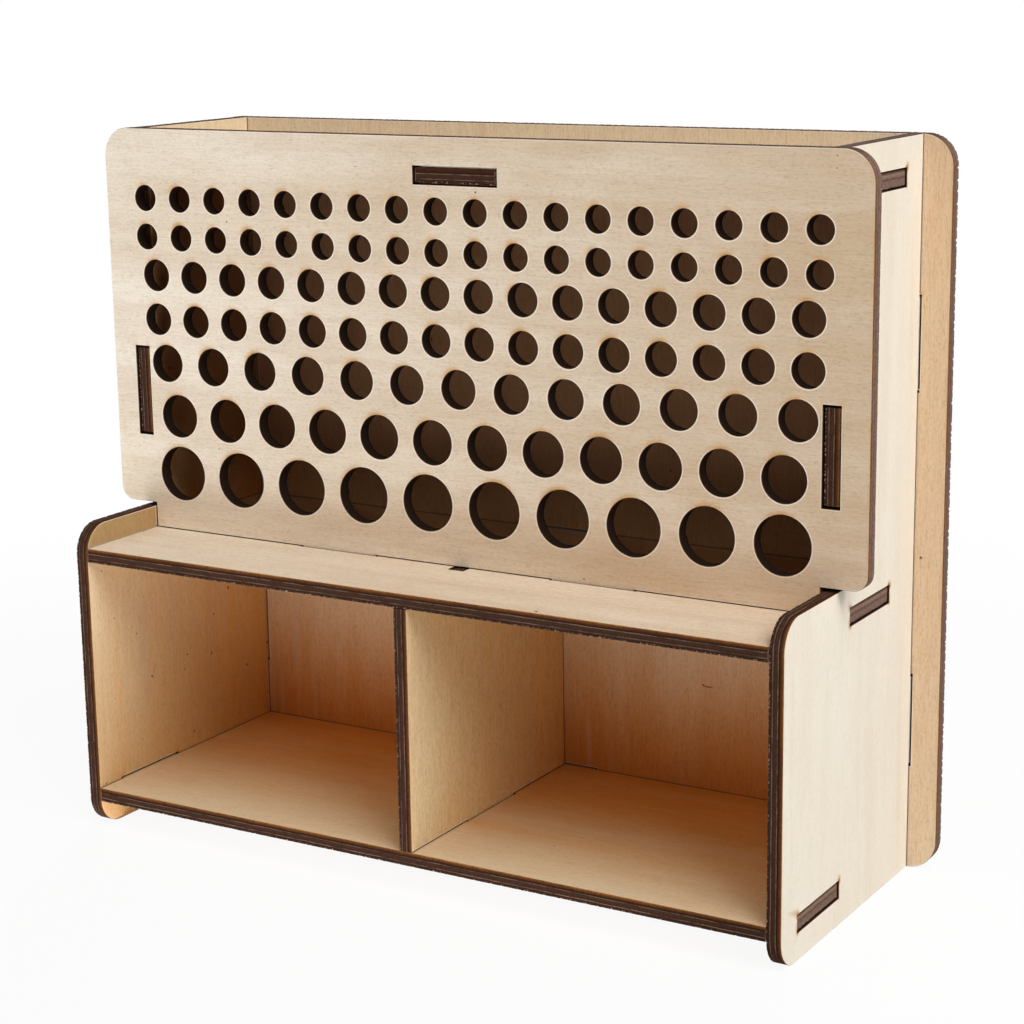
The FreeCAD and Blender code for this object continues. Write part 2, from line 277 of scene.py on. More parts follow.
# Smoke marks on the entry face: above and a little left of a round hole, in streaks that rise from the
# corners of a slot, and along the edges of an outline that face the front or, on a plate seen from the
# front, the right. Lengths in millimetres.
HOLE_SMOKE_ANGLE = math.radians(108)
HOLE_SMOKE_SPREAD = math.radians(42)
HOLE_SMOKE_REACH = 1.05
HOLE_SMOKE_STRENGTH = (0.75, 1.35)
HOLE_SMOKE_SWAY = 0.2
SLOT_SMOKE_STRENGTH = {X: 1.1, Y: 0.45, Z: 0.6}
SLOT_SMOKE_WIDTH = 1.3
SLOT_SMOKE_RISE = (1.2, 3.8)
SLOT_SMOKE_LEAN = 0.35
UPPER_STREAK = (0.9, 1.4)
LOWER_STREAK = (0.4, 1.0)
EDGE_SMOKE_PERIOD = 60.0
EDGE_SMOKE_REACH = 0.45
EDGE_SMOKE_WAVES = (1, 2, 5)
EDGE_SMOKE_SWING = 0.3
BROWNED_SIDE = {X: (-1, 0), Y: (1, 0), Z: (0, -1)}

# Places where painted shade and painted light lie on the wood, by the corners of their boxes in metres:
# painted shade in the closed space behind the holes with painted light in the part of it near its floor,
# painted shade on the inside of the lip at the left end of the ledge, painted shade growing downwards on the
# left wall of the compartments, and painted warm bounce light on the lower part of the panel. The skin is
# how far a box reaches past the faces that it holds, and the rises are in millimetres.
SKIN = 0.0003
HOLD_FLOOR_RISE = 27
LOW_PANEL_RISE = 60
LEFT_LOW, LEFT_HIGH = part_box("left_side_panel")
PANEL_LOW, PANEL_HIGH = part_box("front_hole_panel")
LEDGE_LOW, LEDGE_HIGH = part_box("middle_shelf")
TRAY_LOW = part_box("top_tray_board")[0][Z]
FLOOR_LOW, FLOOR_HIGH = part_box("bottom_shelf")
CASE_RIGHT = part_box("right_side_panel")[0][X]
CASE_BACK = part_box("back_panel")[0][Y]
HOLD = ((LEFT_HIGH[X] - SKIN, PANEL_HIGH[Y] - SKIN, LEDGE_HIGH[Z] - SKIN),
        (CASE_RIGHT + SKIN, CASE_BACK + SKIN, TRAY_LOW + SKIN))
HOLD_FLOOR = (HOLD[0], (HOLD[1][X], HOLD[1][Y], LEDGE_HIGH[Z] + HOLD_FLOOR_RISE * MM))
LIP = ((LEFT_HIGH[X] - SKIN, LEFT_LOW[Y], LEDGE_HIGH[Z] + SKIN),
       (LEFT_HIGH[X] + SKIN, PANEL_LOW[Y] - SKIN, TRAY_LOW))
LEFT_WALL = ((LEFT_HIGH[X] - SKIN, LEFT_LOW[Y], FLOOR_HIGH[Z]),
             (LEFT_HIGH[X] + SKIN, CASE_BACK, LEDGE_LOW[Z]))
LOW_PANEL = ((PANEL_LOW[X], PANEL_LOW[Y] - SKIN, PANEL_LOW[Z]),
             (PANEL_HIGH[X], PANEL_LOW[Y] + SKIN, PANEL_LOW[Z] + LOW_PANEL_RISE * MM))

# How near another plate a face shows the painted seam shade, in millimetres.
SEAM_REACH = 0.8
SEAM_SAMPLES = 6

# The camera, as it was fitted to the photograph.
CAMERA_PLACE = (0.39646, -0.64190, 0.28838)
CAMERA_AZIMUTH = math.radians(31.017)
CAMERA_ELEVATION = math.radians(13.004)
CAMERA_ROLL = math.radians(-0.868)
CAMERA_LENS = 83.62
CAMERA_NEAR = 0.01

# The studio: places and sizes in metres, and powers in watts. Cards lie on the table and throw light up.
SOFTBOX_SIZE = 1.0
LAMP_AIM = (0, 0, 0.12)
SOFTBOXES = {
    "left_softbox": ((-0.9, -0.4, 1.1), 3.4),
    "right_softbox": ((0.9, -0.4, 1.1), 19.0),
    "low_fill": ((-0.2, -1.3, 0.12), 0.8),
    "back_fill": ((-0.3, 1.3, 0.9), 9.0),
}
CARD_HEIGHT = 0.001
CARDS = {
    "near_card": ((-0.05, -0.19), 0.30, 0.28),
    "left_card": ((-0.45, -0.50), 0.70, 2.35),
}
AMBIENT = 0.03
TABLE_HALF = 12.0
TABLE_TONE = (0.86, 0.86, 0.86, 1)
TABLE_PLAIN = (0.20, 0.60, 0.92, 1.0)
WHITE = (1, 1, 1, 1)


class Plan:
    """A plate's flat plan in millimetres, and the way from it back into the frame."""

    def __init__(self, node, entry, browned, rough):
        low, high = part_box(node)
        sizes = high - low
        self.node = node
        self.browned = browned
        self.rough = rough
        self.across = min(range(3), key=lambda axis: sizes[axis])
        self.axes = [axis for axis in range(3) if axis != self.across]
        self.face = (high if entry > 0 else low)[self.across] / MM
        self.inward = -entry
        self.mirrored = (entry > 0) == (self.across == Y)
        self.thickness = sizes[self.across] / MM

    def flat(self, point):
        return tuple(round(point[axis] / MM, 4) for axis in self.axes)

    def facing_sideways(self, inward):
        """How much a cut with these steps into the wood faces along x, from 0 to 1."""
        if self.across == X:
            return np.zeros(len(inward))
        return np.clip(abs(inward[:, 0]), 0, 1)

    def place(self, points, depth):
        """Points of the plan, at a depth below the entry face, in the frame."""
        placed = np.zeros((len(points), 3))
        placed[:, self.axes] = points
        placed[:, self.across] = self.face + self.inward * depth
        return placed * MM


def signed_area(loop):
    ahead = np.roll(loop, -1, axis=0)
    return 0.5 * np.sum(loop[:, 0] * ahead[:, 1] - ahead[:, 0] * loop[:, 1])


def boundary_steps(plan):
    """The steps from corner to corner along the outline and the holes of a plate's entry face."""
    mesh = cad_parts[plan.node].data
    edges = {}
    for polygon in mesh.polygons:
        if abs(polygon.center[plan.across] / MM - plan.face) > SNAP:
            continue
        corners = [plan.flat(mesh.vertices[index].co) for index in polygon.vertices]
        for start, end in zip(corners, corners[1:] + corners[:1]):
            if edges.pop((end, start), None) is None:
                edges[(start, end)] = True
    return dict(edges.keys())


def face_loops(plan):
    """The outline and the holes of a plate's entry face, with the wood on the left of each."""
    ahead = boundary_steps(plan)
    loops = []
    while ahead:
        point = next(iter(ahead))
        loop = []
        while point in ahead:
            loop.append(point)
            point = ahead.pop(point)
        loops.append(np.array(loop))
    loops.sort(key=lambda loop: -abs(signed_area(loop)))
    wanted = [1] + [-1] * (len(loops) - 1)
    return [loop if signed_area(loop) * sign > 0 else loop[::-1] for loop, sign in zip(loops, wanted)]


def circle_of(loop):
    """Centre and radius of a round hole, or None."""
    centre = loop.mean(axis=0)
    radii = np.linalg.norm(loop - centre, axis=1)
    if len(loop) < LEAST_CIRCLE_CORNERS or np.ptp(radii) > CIRCLE_SLACK:
        return None
    return centre, radii.mean()


def round_points(centre, radius):
    count = max(LEAST_HOLE_STEPS, round(2 * math.pi * radius / HOLE_STEP))
    angles = -2 * math.pi * np.arange(count) / count
    return centre + radius * np.stack([np.cos(angles), np.sin(angles)], axis=1)


def straight_points(loop):
    """A loop with even steps along its straights, and its round corners drawn finer."""
    ahead = np.roll(loop, -1, axis=0) - loop
    heading = np.arctan2(ahead[:, 1], ahead[:, 0])
    turn = (heading - np.roll(heading, 1) + math.pi) % (2 * math.pi) - math.pi
    gentle = (abs(turn) > GENTLE_TURN[0]) & (abs(turn) < GENTLE_TURN[1])
    points = []
    for index, start in enumerate(loop):
        after = (index + 1) % len(loop)
        chord = ahead[index]
        length = np.linalg.norm(chord)
        bend = max(turn[index], turn[after], key=abs)
        if not (gentle[index] and gentle[after]) or length > abs(bend) * LARGEST_ROUND:
            bend = 0.0
        right = np.array([chord[1], -chord[0]])
        count = max(1, round(length / STEP))
        for share in np.arange(count) / count:
            points.append(start + chord * share + right * bend / 2 * share * (1 - share))
    return np.array(points)


def mitres(points):
    """At each point of a loop, the step into the wood that moves both of its edges by one."""
    ahead = np.roll(points, -1, axis=0) - points
    ahead /= np.linalg.norm(ahead, axis=1)[:, None]
    left = np.stack([-ahead[:, 1], ahead[:, 0]], axis=1)
    before = np.roll(left, 1, axis=0)
    return (left + before) / (1 + np.sum(left * before, axis=1))[:, None]


def clearance(points, loops, circles):
    """Distance of each point from the nearest cut, in millimetres."""
    nearest = np.full(len(points), np.inf)
    for loop, circle in zip(loops, circles):
        if circle:
            centre, radius = circle
            away = abs(np.linalg.norm(points - centre, axis=1) - radius)
            nearest = np.minimum(nearest, away)
            continue
        for start, end in zip(loop, np.roll(loop, -1, axis=0)):
            run = end - start
            share = np.clip((points - start) @ run / (run @ run), 0, 1)
            away = np.linalg.norm(points - start - share[:, None] * run, axis=1)
            nearest = np.minimum(nearest, away)
    return nearest


def inside(points, loops):
    """Which points lie on the wood: inside the outline and outside every hole."""
    within = np.zeros(len(points), bool)
    x, y = points[:, 0], points[:, 1]
    for loop in loops:
        for (x0, y0), (x1, y1) in zip(loop, np.roll(loop, -1, axis=0)):
            if y0 != y1:
                crosses = ((y0 > y) != (y1 > y)) & (x < x0 + (y - y0) * (x1 - x0) / (y1 - y0))
                within ^= crosses
    return within


def scallops(points, inward, rough, dice):
    """How far an outline's exit arris has broken away at each step: low bumps with notches between."""
    broken = np.array([dice.uniform(*BUMP_DEPTH) for _ in points])
    step = 0
    while step < len(points):
        broken[step] = rough * dice.triangular(*NOTCH_DEPTH)
        step += dice.randint(*NOTCH_SPACING)
    ahead = np.linalg.norm(np.roll(points, -1, axis=0) - points, axis=1)
    broken = np.minimum(broken, NOTCH_MOST * np.minimum(ahead, np.roll(ahead, 1)))
    at_corner = np.linalg.norm(inward, axis=1) > CORNER_MITRE
    near_corner = at_corner | np.roll(at_corner, 1) | np.roll(at_corner, -1)
    return np.where(near_corner, LEAST_BREAK, broken)


def chips(count, dice):
    """How far splinters stand into a round hole at its exit arris. Most holes have none."""
    stands = np.full(count, LEAST_BREAK)
    if dice.random() < CHIP_SHARE:
        first = dice.randrange(count)
        for step in range(dice.randint(*CHIP_STEPS)):
            stands[(first + step) % count] = -dice.uniform(*CHIP_STAND) * CHIP_SIZE
    return stands


def hole_smoke(points, centre, strength, lean):
    """Smoke drifts up from a round hole and colours the face along the top of its rim."""
    around = np.arctan2(points[:, 1] - centre[1], points[:, 0] - centre[0])
    away = (around - HOLE_SMOKE_ANGLE - lean + math.pi) % (2 * math.pi) - math.pi
    return strength * np.exp(-(away / HOLE_SMOKE_SPREAD) ** 2)


class SlotStreak:
    """The smoke streak at one corner of a slot. An upper corner has a stronger one."""

    def __init__(self, corner, is_upper, dice):
        self.corner = corner
        self.strength = dice.uniform(*(UPPER_STREAK if is_upper else LOWER_STREAK))
        self.rise = dice.uniform(*SLOT_SMOKE_RISE)
        self.lean = dice.uniform(-SLOT_SMOKE_LEAN, SLOT_SMOKE_LEAN)

    def at(self, points):
        away = points - self.corner
        height = away[:, 1]
        sideways = (away[:, 0] - self.lean * height) / SLOT_SMOKE_WIDTH
        upwards = height / np.where(height > 0, self.rise, SLOT_SMOKE_WIDTH)
        return self.strength * np.exp(-sideways ** 2 - upwards ** 2)


def slot_streaks(corners, dice):
    middle = corners.mean(axis=0)
    return [SlotStreak(corner, corner[1] > middle[1], dice) for corner in corners]


def edge_smoke(points, inward, browned_side, dice):
    """Browning along an outline, on the edges that face one way and in uneven waves."""
    steps = np.linalg.norm(np.roll(points, -1, axis=0) - points, axis=1)
    travelled = np.cumsum(steps)
    turns = max(2, round(travelled[-1] / EDGE_SMOKE_PERIOD))
    wave = np.zeros(len(points))
    for multiple in EDGE_SMOKE_WAVES:
        phase = dice.uniform(0, 2 * math.pi)
        wave += np.sin(2 * math.pi * turns * multiple * travelled / travelled[-1] + phase) / multiple
    facing = np.clip(-inward @ np.array(browned_side), 0, 1)
    return np.clip(facing * (1 + EDGE_SMOKE_SWING * wave), 0, 1)


class PlateMesh:
    """Collects a plate's points, faces and point values."""

    def __init__(self, plan):
        self.plan = plan
        self.points = []
        self.faces = []
        self.materials = []
        self.values = {"depth": [], "cut": [], "smoke": [], "side_light_or_soot": []}

    def add_points(self, flat, depth, cut, smoke, side_light_or_soot):
        first = len(self.points)
        count = len(flat)
        self.points.extend(self.plan.place(flat, depth))
        self.values["depth"].extend([depth / self.plan.thickness] * count)
        self.values["cut"].extend(np.broadcast_to(cut, count))
        self.values["smoke"].extend(smoke)
        self.values["side_light_or_soot"].extend(np.broadcast_to(side_light_or_soot, count))
        return np.arange(first, first + count)

    def add_face(self, corners, material, reverse=False):
        """A face whose front looks out of the wood."""
        turned = self.plan.mirrored != reverse
        self.faces.append(tuple(corners[::-1] if turned else corners))
        self.materials.append(material)

    def add_wall(self, upper, lower):
        """A closed strip of quads between two rings of points."""
        for corners in zip(upper, lower, np.roll(lower, -1), np.roll(upper, -1)):
            self.add_face(corners, WALL)

    def add_cap(self, rings, indices, loose, loose_indices, is_exit):
        """Fills a face between its boundary rings, through the loose points on it."""
        flat = np.vstack(rings + [loose])
        index_of = np.concatenate(indices + [loose_indices]).astype(int)
        edges = []
        first = 0
        for ring in rings:
            count = len(ring)
            edges += [(first + step, first + (step + 1) % count) for step in range(count)]
            first += count
        filled = delaunay_2d_cdt([Vector(point) for point in flat], edges, [], 0, FILL_TOLERANCE)
        corners, triangles, origins = filled[0], filled[2], filled[3]
        corners = np.array(corners)
        triangles = np.array(triangles)
        kept = inside(corners[triangles].mean(axis=1), rings)
        source = np.array([origin[0] for origin in origins])
        for triangle in triangles[kept]:
            self.add_face(index_of[source[triangle]], FACE, reverse=is_exit)

    def finish(self, name, finishes):
        mesh = bpy.data.meshes.new(name)
        mesh.from_pydata([tuple(point) for point in self.points], [], self.faces)
        for key, values in self.values.items():
            layer = mesh.attributes.new(key, "FLOAT", "POINT")
            layer.data.foreach_set("value", np.array(values, np.float32))
        for finish in finishes:
            mesh.materials.append(finish)
        mesh.polygons.foreach_set("material_index", self.materials)
        mesh.polygons.foreach_set("use_smooth", [True] * len(self.faces))
        mesh.set_sharp_from_angle(angle=SHARP_ANGLE)
        mesh.update()
        piece = bpy.data.objects.new(name, mesh)
        bpy.context.scene.collection.objects.link(piece)
        return piece


class Cut:
    """One cut of a plate: its fine points, the step into the wood at each, its smoke and its painted side
    light.
    """

    def __init__(self, plan, loop, is_outline, dice):
        self.circle = circle_of(loop)
        self.streaks = []
        if self.circle:
            self.draw_hole(dice)
            return
        drawn = straight_points(loop)
        self.inward = mitres(drawn)
        self.points = drawn + self.inward * KERF
        self.broken = scallops(self.points, self.inward, plan.rough, dice)
        if is_outline:
            self.smoke_outline(plan, dice)
        else:
            self.smoke_slot(plan, loop, dice)

    def draw_hole(self, dice):
        self.points = round_points(*self.circle)
        self.inward = mitres(self.points)
        self.broken = chips(len(self.points), dice)
        strength = dice.uniform(*HOLE_SMOKE_STRENGTH)
        self.smoke = hole_smoke(self.points, self.circle[0], strength, dice.gauss(0, HOLE_SMOKE_SWAY))
        self.reach = HOLE_SMOKE_REACH
        self.side_light_or_soot = SOOTED

    def smoke_outline(self, plan, dice):
        waves = edge_smoke(self.points, self.inward, BROWNED_SIDE[plan.across], dice)
        self.smoke = plan.browned * waves
        self.reach = EDGE_SMOKE_REACH
        # A cut that faces a side gets painted side light.
        self.side_light_or_soot = plan.facing_sideways(self.inward)

    def smoke_slot(self, plan, loop, dice):
        self.streaks = slot_streaks(loop, dice)
        self.streak_strength = SLOT_SMOKE_STRENGTH[plan.across]
        self.smoke = self.face_smoke(0.0)
        self.side_light_or_soot = SOOTED

    def face_smoke(self, distance):
        """Smoke on the entry face along the ring at a distance from the cut."""
        if self.streaks:
            ring = self.ring(distance)
            return self.streak_strength * np.max([streak.at(ring) for streak in self.streaks], axis=0)
        return self.smoke * math.exp(-distance / self.reach)

    def profile(self, thickness):
        """Insets and depths of the rings that run round the cut, from entry face to exit face."""
        return (
            (ENTRY_ARRIS, 0.0),
            (0.0, ENTRY_ARRIS),
            (0.0, thickness / 2),
            (0.0, thickness - SCALLOP_REACH),
            (self.broken, thickness - EXIT_ARRIS),
            (self.broken + EXIT_ARRIS, thickness),
        )

    def ring(self, inset):
        return self.points + self.inward * np.reshape(inset, (-1, 1))


def add_cut_wall(made, cut):
    """The wall of one cut. Returns its first and last rings, where the two faces begin."""
    rings = []
    for inset, depth in cut.profile(made.plan.thickness):
        flat = cut.ring(inset)
        rings.append((flat, made.add_points(flat, depth, 0.0, cut.smoke, cut.side_light_or_soot)))
    for (_, upper), (_, lower) in zip(rings, rings[1:]):
        made.add_wall(upper, lower)
    return rings[0], rings[-1]


def face_points(cuts, distances, loops, circles):
    """Loose points of a face with their smoke: rings that follow each cut, clear of the others."""
    flats = [np.zeros((0, 2))]
    smokes = [np.zeros(0)]
    for step, distance in enumerate(distances):
        stride = 1 + step // 2
        for cut in cuts:
            flat = cut.ring(distance)[::stride]
            smoke = cut.face_smoke(distance)[::stride]
            clear = clearance(flat, loops, circles) > RING_CLEAR * distance
            flats.append(flat[clear])
            smokes.append(smoke[clear])
    flat, smoke = np.vstack(flats), np.concatenate(smokes)
    on_wood = inside(flat, loops)
    return flat[on_wood], smoke[on_wood]


def plate_piece(node, facts):
    """A plate redrawn from its CAD node, with its two faces and the wall of every cut."""
    dice = random.Random(node)
    made = PlateMesh(Plan(node, facts["entry"], facts["browned"], facts["rough"]))
    loops = face_loops(made.plan)
    cuts = [Cut(made.plan, loop, loop is loops[0], dice) for loop in loops]
    circles = [cut.circle for cut in cuts]
    entry_rings, exit_rings = zip(*[add_cut_wall(made, cut) for cut in cuts])
    faces = ((entry_rings, ENTRY_RINGS, False), (exit_rings, EXIT_RINGS, True))
    for rings, distances, is_exit in faces:
        depth = made.plan.thickness if is_exit else 0.0
        loose, smoke = face_points(cuts, distances, loops, circles)
        indices = made.add_points(loose, depth, clearance(loose, loops, circles), smoke, 0.0)
        flats, ring_indices = zip(*rings)
        made.add_cap(list(flats), list(ring_indices), loose, indices, is_exit)
    finishes = (veneer(facts["wood"], facts["grain"]), charred_edge(facts["wood"]))
    return made.finish("ply_" + node, finishes)


class Shader:
    """A material's node tree, with short calls for the nodes used here."""

    def __init__(self, name):
        self.material = bpy.data.materials.new(name)
        self.material.use_nodes = True
        self.tree = self.material.node_tree
        self.tree.nodes.clear()

    def add(self, kind, inputs, **settings):
        node = self.tree.nodes.new("ShaderNode" + kind)
        for key, value in settings.items():
            setattr(node, key, value)
        for key, value in inputs.items():
            if isinstance(value, bpy.types.NodeSocket):
                self.tree.links.new(value, node.inputs[key])
            else:
                node.inputs[key].default_value = value
        return node

    def place(self, sizes, shift=(0, 0, 0)):
        """Object coordinates, counted in lengths of the given sizes in millimetres."""
        source = self.add("TexCoord", {}).outputs["Object"]
        scale = [1 / (MM * size) for size in sizes]
        mapped = self.add("Mapping", {"Vector": source, "Scale": scale, "Location": shift})
        return mapped.outputs["Vector"]

    def noise(self, place, detail, roughness, distortion=0.0):
        values = {"Vector": place, "Scale": 1.0, "Detail": detail,
                  "Roughness": roughness, "Distortion": distortion}
        return self.add("TexNoise", values).outputs["Fac"]

    def even_noise(self, size, detail, roughness):
        return self.noise(self.place((size, size, size)), detail, roughness)

    def cells(self, place):
        return self.add("TexVoronoi", {"Vector": place, "Scale": 1.0}).outputs

    def value(self, name):
        return self.add("Attribute", {}, attribute_name=name).outputs["Fac"]

    def math(self, operation, first, second=0.0, third=0.0):
        node = self.add("Math", {0: first, 1: second, 2: third}, operation=operation)
        return node.outputs[0]

    def ramp(self, value, start, end, low=0.0, high=1.0):
        values = {"Value": value, "From Min": start, "From Max": end, "To Min": low, "To Max": high}
        return self.add("MapRange", values, interpolation_type="SMOOTHSTEP").outputs[0]

    def mix(self, share, first, second, blend="MIX"):
        node = self.add("Mix", {0: share, 6: first, 7: second}, data_type="RGBA", blend_type=blend)
        return node.outputs[2]

    def tones(self, value, stops):
        node = self.add("ValToRGB", {"Fac": value})
        ramp = node.color_ramp
        while len(ramp.elements) < len(stops):
            ramp.elements.new(0.5)
        for element, (place, colour) in zip(ramp.elements, stops):
            element.position = place
            element.color = (*colour, 1)
        return node.outputs["Color"]

    def close(self, colour, roughness, height, bump_depth, specular):
        bump = self.add("Bump", {"Height": height, "Distance": bump_depth * MM, "Strength": 1.0})
        values = {"Base Color": colour, "Roughness": roughness, "Normal": bump.outputs["Normal"],
                  "Specular IOR Level": specular}
        shader = self.add("BsdfPrincipled", values)
        self.add("OutputMaterial", {"Surface": shader.outputs["BSDF"]})
        return self.material


def along(axis, length, width):
    """Sizes of a streak that runs along one axis."""
    return [length if index == axis else width for index in range(3)]


def painted_light_drift(shader, wood, place):
    """A slow change of tone along a plate that paints light and shade across it, and is 0 at its middle."""
    slope = [share / MM for share in wood["painted_light_drift"]]
    offset = sum(share * middle for share, middle in zip(wood["painted_light_drift"], wood["middle"]))
    drift = shader.add("VectorMath", {0: place, 1: slope}, operation="DOT_PRODUCT").outputs["Value"]
    return shader.math("SUBTRACT", drift, offset)


def case_painted_shade(shader, wood, x, z):
    """Painted shade and light on the tone between the sides: towards the compartments' floor, and above the
    ledge.
    """
    within = shader.math("LESS_THAN", shader.math("ABSOLUTE", x), CASE_RIGHT)
    low = shader.ramp(z, PAINTED_SHADE_HEIGHT * LEDGE_HIGH[Z], 0.0, 0.0, wood["compartment"])
    above = shader.math("GREATER_THAN", z, LEDGE_HIGH[Z])
    stain_or_painted_shade = shader.math("MULTIPLY_ADD", above, wood["tray"], low)
    return shader.math("MULTIPLY", within, stain_or_painted_shade)


def wood_tone(shader, wood, grain, shift):
    """How deep the veneer's tone is, from 0 to 1: bands and clouds that drift across its entry face, with
    painted light and shade.
    """
    bands = shader.noise(shader.place(along(grain, *BANDS), shift), *BAND_NOISE)
    clouds = shader.noise(shader.place(along(grain, *CLOUDS), shift), *SOFT_NOISE)
    drawn = shader.math("MULTIPLY_ADD", clouds, CLOUD_SHARE, bands)
    spread = wood.get("bands", 1.0)
    tone = shader.math("MULTIPLY_ADD", drawn, spread, MEAN_TONE * (1 - spread))
    place = shader.add("TexCoord", {}).outputs["Object"]
    x, _, z = shader.add("SeparateXYZ", {"Vector": place}).outputs
    # The painted light and shade lie only on the entry face, and not below the bottom shelf.
    entering = shader.math("SUBTRACT", 1.0, shader.value("depth"))
    entering = shader.math("MULTIPLY", entering, shader.math("GREATER_THAN", z, FLOOR_LOW[Z]))
    if "painted_light_drift" in wood:
        tone = shader.math("MULTIPLY_ADD", painted_light_drift(shader, wood, place), entering, tone)
    if "compartment" in wood:
        tone = shader.math("MULTIPLY_ADD", case_painted_shade(shader, wood, x, z), entering, tone)
    lift = wood.get("tone", 0.0)
    return shader.ramp(tone, TONE_RANGE[0] - lift, TONE_RANGE[1] - lift)


def in_box(shader, low, high):
    """1 inside a box of the frame, and 0 elsewhere."""
    place = shader.add("TexCoord", {}).outputs["Object"]
    share = 1.0
    for axis, value in enumerate(shader.add("SeparateXYZ", {"Vector": place}).outputs):
        share = shader.math("MULTIPLY", share, shader.math("GREATER_THAN", value, low[axis]))
        share = shader.math("MULTIPLY", share, shader.math("LESS_THAN", value, high[axis]))
    return share


def down_box(shader, low, high):
    """0 outside a box of the frame and at its top, and up to 1 at its bottom."""
    place = shader.add("TexCoord", {}).outputs["Object"]
    z = shader.add("SeparateXYZ", {"Vector": place}).outputs["Z"]
    return shader.math("MULTIPLY", in_box(shader, low, high), shader.ramp(z, high[Z], low[Z]))


def painted_seam_shade(shader):
    """How much painted shade a face gets from ambient occlusion in the narrow corner where two plates meet,
    and 0 elsewhere.
    """
    near = shader.add("AmbientOcclusion", {"Distance": SEAM_REACH * MM}, samples=SEAM_SAMPLES)
    return shader.ramp(near.outputs["AO"], *SEAM_RAMP)


def wood_grain(shader, grain, shift):
    """The veneer's fine grain, from 0 to 1, with its fibres and short pores."""
    fibres = shader.noise(shader.place(along(grain, *FIBRES), shift), *RICH_NOISE)
    mottle = shader.noise(shader.place(along(grain, *MOTTLE), shift), *FINE_NOISE)
    pores = shader.noise(shader.place(along(grain, *PORES), shift), *PLAIN_NOISE)
    pores = shader.ramp(pores, *PORE_RANGE)
    fine = shader.math("MULTIPLY_ADD", mottle, MOTTLE_SHARE, fibres)
    fine = shader.math("MULTIPLY_ADD", pores, PORE_SHARE, fine)
    return shader.ramp(fine, *GRAIN_RANGE), fibres, pores


def pin_specks(shader, wood, grain, shift):
    """Small dark specks, irregular and rare, where a cell of the pattern is drawn to have one."""
    ragged = shader.even_noise(RAGGED_SIZE, *FINE_NOISE)
    cells = shader.cells(shader.place(along(grain, *SPECK_CELLS), shift))
    dice = shader.add("SeparateColor", {"Color": cells["Color"]}).outputs
    size = shader.math("MULTIPLY_ADD", dice[1], SPECK_SPREAD, SPECK_LEAST)
    size = shader.math("MULTIPLY", size, shader.ramp(ragged, *SPECK_RAMP))
    near = shader.math("LESS_THAN", cells["Distance"], size)
    drawn = shader.math("LESS_THAN", dice[0], wood["specks"])
    return shader.math("MULTIPLY", near, drawn)


def single_marks(shader, wood_name):
    """How strongly a single mark colours the veneer."""
    total = 0.0
    for centre, half_sizes, strength in MARKS.get(wood_name, ()):
        shift = [-place / size for place, size in zip(centre, half_sizes)]
        place = shader.place(half_sizes, shift)
        away = shader.add("VectorMath", {0: place}, operation="LENGTH").outputs["Value"]
        total = shader.math("MAXIMUM", total, shader.ramp(away, *MARK_EDGE, strength, 0.0))
    return total


def figured(shader, wood, grain, shift, fine, leaving):
    """The veneer's own colour: its tone, its exit face's tone, its grain and a few pink streaks."""
    tone = wood_tone(shader, wood, grain, shift)
    colour = shader.mix(tone, (*wood["pale"], 1), (*wood["deep"], 1))
    colour = shader.mix(shader.math("MULTIPLY", leaving, EXIT_SHARE), colour, (*wood["exit"], 1))
    grained = shader.mix(fine, GRAIN_LIGHT, GRAIN_DARK)
    colour = shader.mix(GRAIN_SHARE * wood["grain"], colour, grained, "MULTIPLY")
    pink_shift = [place + PINK_SHIFT for place in shift]
    pink = shader.noise(shader.place(along(grain, *PINK_STREAKS), pink_shift), *SOFT_NOISE)
    pink = shader.ramp(pink, *PINK_RANGE, 0.0, PINK_SHARE * wood["grain"])
    return shader.mix(pink, colour, PINK_STREAK)


def with_painted_light_and_shade(shader, colour):
    """The colour with the painted shade, painted light and painted bounce of the places that have one."""
    for box, shade in ((HOLD, HOLD_PAINTED_SHADE), (LIP, LIP_PAINTED_SHADE)):
        colour = shader.mix(in_box(shader, *box), colour, shade, "MULTIPLY")
    graded = ((HOLD_FLOOR, HOLD_FLOOR_PAINTED_LIGHT), (LEFT_WALL, LOW_WALL_PAINTED_SHADE), (LOW_PANEL, LOW_PANEL_PAINTED_BOUNCE))
    for box, shade in graded:
        colour = shader.mix(down_box(shader, *box), colour, shade, "MULTIPLY")
    return colour


def smoked(shader, colour, leaving):
    """The colour near a cut: the laser's smoke, amber and scorch marks, and a painted highlight along the
    rim.
    """
    cut = shader.value("cut")
    grit = shader.even_noise(GRIT_SIZE, *FINE_NOISE)
    stain_or_painted_shade = shader.math("MULTIPLY", shader.ramp(cut, *EXIT_STAIN), leaving)
    colour = shader.mix(shader.math("MULTIPLY", stain_or_painted_shade, grit), colour, SMOKE)
    # Painted highlight: a pale rim along the cut.
    colour = shader.mix(shader.ramp(cut, *RIM_HIGHLIGHT_RAMP), colour, CREAM_RIM_HIGHLIGHT)
    smoke = shader.math("MULTIPLY", shader.value("smoke"), shader.ramp(grit, *SMOKE_GRIT))
    colour = shader.mix(shader.ramp(smoke, *AMBER_RAMP), colour, AMBER)
    return shader.mix(shader.ramp(smoke, *SCORCH_RAMP), colour, SCORCH_BROWN)


